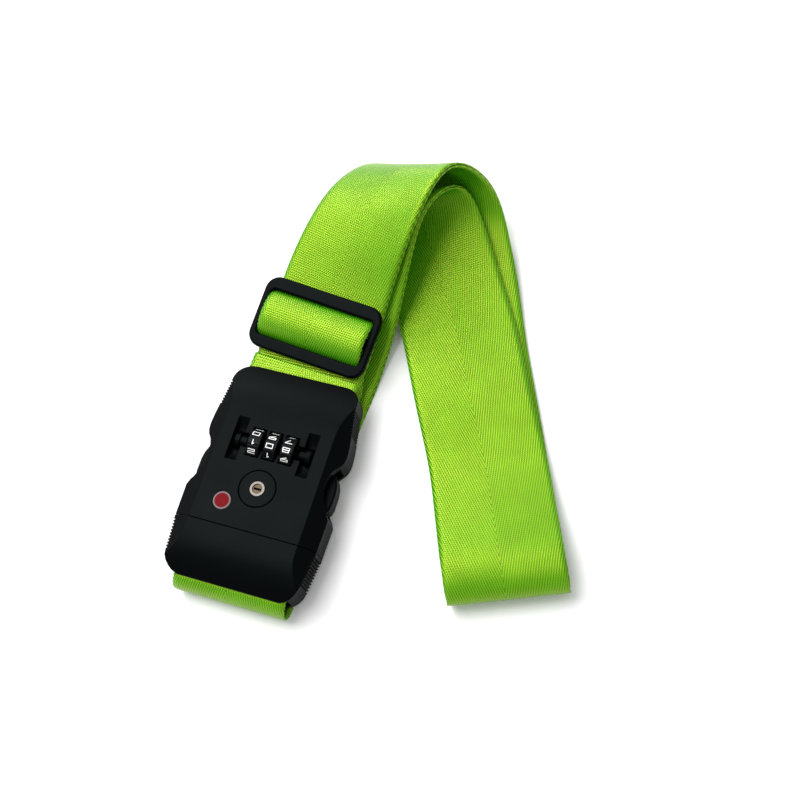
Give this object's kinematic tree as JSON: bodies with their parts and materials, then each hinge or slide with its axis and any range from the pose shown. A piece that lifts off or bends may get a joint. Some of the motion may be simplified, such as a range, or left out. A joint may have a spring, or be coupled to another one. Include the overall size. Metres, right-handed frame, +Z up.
{
  "type": "luggage_strap",
  "caption": "Folded lime webbing luggage strap with a black side-release buckle, three-dial and key lock, and a sliding adjuster.",
  "frame": {"origin": "Under the middle of the buckle, on the surface that the folded strap lies on.", "axes": "+Y runs along the buckle towards the slider and the bend, +X to the buckle's right, +Z up out of its face."},
  "size_m": [0.1667, 0.2122, 0.0463],
  "materials": {
    "black_plastic": "fine matte moulding texture",
    "black_gloss": "semi-gloss",
    "lime_webbing": "satin herringbone weave",
    "lock_metal": "plated",
    "brass_plug": "turned brass",
    "badge_plate": "enamelled inlay"
  },
  "bodies": {
    "housing": {"badge": "badge_plate", "dial_detent_spring": "lock_metal", "housing_base": "black_plastic", "housing_screws": "lock_metal", "housing_top_cover": "black_plastic", "key_cylinder_body": "lock_metal", "key_disc": "black_plastic", "webbing_bar_loop": "lime_webbing", "webbing_end_fold_1": "lime_webbing", "webbing_end_fold_2": "lime_webbing", "webbing_end_fold_3": "lime_webbing", "webbing_inner_bend_1": "lime_webbing", "webbing_inner_bend_2": "lime_webbing", "webbing_inner_bend_3": "lime_webbing", "webbing_inner_bend_4": "lime_webbing", "webbing_inner_bend_5": "lime_webbing", "webbing_inner_bend_6": "lime_webbing", "webbing_inner_bend_7": "lime_webbing", "webbing_lower_run": "lime_webbing", "webbing_outer_bend_1": "lime_webbing", "webbing_outer_bend_2": "lime_webbing", "webbing_outer_bend_3": "lime_webbing", "webbing_outer_bend_4": "lime_webbing", "webbing_outer_bend_5": "lime_webbing", "webbing_outer_bend_6": "lime_webbing", "webbing_outer_bend_7": "lime_webbing", "webbing_outer_bend_8": "lime_webbing", "webbing_under_run": "lime_webbing", "webbing_under_strand": "lime_webbing", "webbing_upper_run": "lime_webbing"},
    "dial_1": {"dial_wheel_1": "black_gloss"},
    "dial_2": {"dial_wheel_2": "black_gloss"},
    "dial_3": {"dial_wheel_3": "black_gloss"},
    "clutch_1": {"dial_clutch_1": "lock_metal"},
    "clutch_2": {"dial_clutch_2": "lock_metal"},
    "clutch_3": {"dial_clutch_3": "lock_metal"},
    "axle": {"dial_axle": "black_plastic"},
    "plug": {"key_plug": "brass_plug", "key_wafers": "brass_plug", "key_cam": "lock_metal", "key_cam_clip": "lock_metal"},
    "bolt": {"lock_bolt": "lock_metal"},
    "male_half": {"male_base": "black_plastic", "male_cover": "black_plastic", "male_screws": "lock_metal", "webbing_male_loop": "lime_webbing"},
    "latch_left": {"latch_arm_left": "black_plastic"},
    "latch_right": {"latch_arm_right": "black_plastic"},
    "slider": {"slider_frame": "black_plastic", "webbing_slider_roll": "lime_webbing"}
  },
  "joints": [
    {"name": "male_half_slide", "type": "slide", "parent": "housing", "child": "male_half", "axis": [0, -1, 0], "range_m": [0, 0.042]},
    {"name": "latch_left_squeeze", "type": "hinge", "parent": "male_half", "child": "latch_left", "pos_m": [-0.0261, -0.0276, 0.0108], "axis": [0, 0, -1], "range_deg": [0, 5.4], "stiffness_Nm_per_rad": 1.2},
    {"name": "latch_right_squeeze", "type": "hinge", "parent": "male_half", "child": "latch_right", "pos_m": [0.0261, -0.0276, 0.0108], "axis": [0, 0, 1], "range_deg": [0, 5.4], "stiffness_Nm_per_rad": 1.2},
    {"name": "axle_reset_slide", "type": "slide", "parent": "housing", "child": "axle", "axis": [1, 0, 0], "range_m": [0, 0.0008]},
    {"name": "key_plug_turn", "type": "hinge", "parent": "housing", "child": "plug", "pos_m": [0, -0.0045, 0.015], "axis": [0, 0, 1], "range_deg": [0, 90]},
    {"name": "bolt_slide", "type": "slide", "parent": "housing", "child": "bolt", "axis": [0, 1, 0], "range_m": [0, 0.003]},
    {"name": "slider_slide", "type": "slide", "parent": "housing", "child": "slider", "axis": [0.13, 0.9, 0.416], "range_m": [0, 0.014]},
    {"name": "dial_1_turn", "type": "hinge", "parent": "housing", "child": "dial_1", "pos_m": [-0.0075, 0.0148, 0.0174], "axis": [1, 0, 0], "continuous": true},
    {"name": "clutch_1_turn", "type": "hinge", "parent": "axle", "child": "clutch_1", "pos_m": [-0.0075, 0.0148, 0.0174], "axis": [1, 0, 0], "continuous": true},
    {"name": "dial_2_turn", "type": "hinge", "parent": "housing", "child": "dial_2", "pos_m": [0, 0.0148, 0.0174], "axis": [1, 0, 0], "continuous": true},
    {"name": "clutch_2_turn", "type": "hinge", "parent": "axle", "child": "clutch_2", "pos_m": [0, 0.0148, 0.0174], "axis": [1, 0, 0], "continuous": true},
    {"name": "dial_3_turn", "type": "hinge", "parent": "housing", "child": "dial_3", "pos_m": [0.0075, 0.0148, 0.0174], "axis": [1, 0, 0], "continuous": true},
    {"name": "clutch_3_turn", "type": "hinge", "parent": "axle", "child": "clutch_3", "pos_m": [0.0075, 0.0148, 0.0174], "axis": [1, 0, 0], "continuous": true}
  ],
  "couplings": [
    {"joint": "key_plug_turn", "follows": "bolt_slide", "rad_per_m": 505},
    {"joint": "clutch_1_turn", "follows": "dial_1_turn", "ratio": 1},
    {"joint": "clutch_2_turn", "follows": "dial_2_turn", "ratio": 1},
    {"joint": "clutch_3_turn", "follows": "dial_3_turn", "ratio": 1}
  ]
}
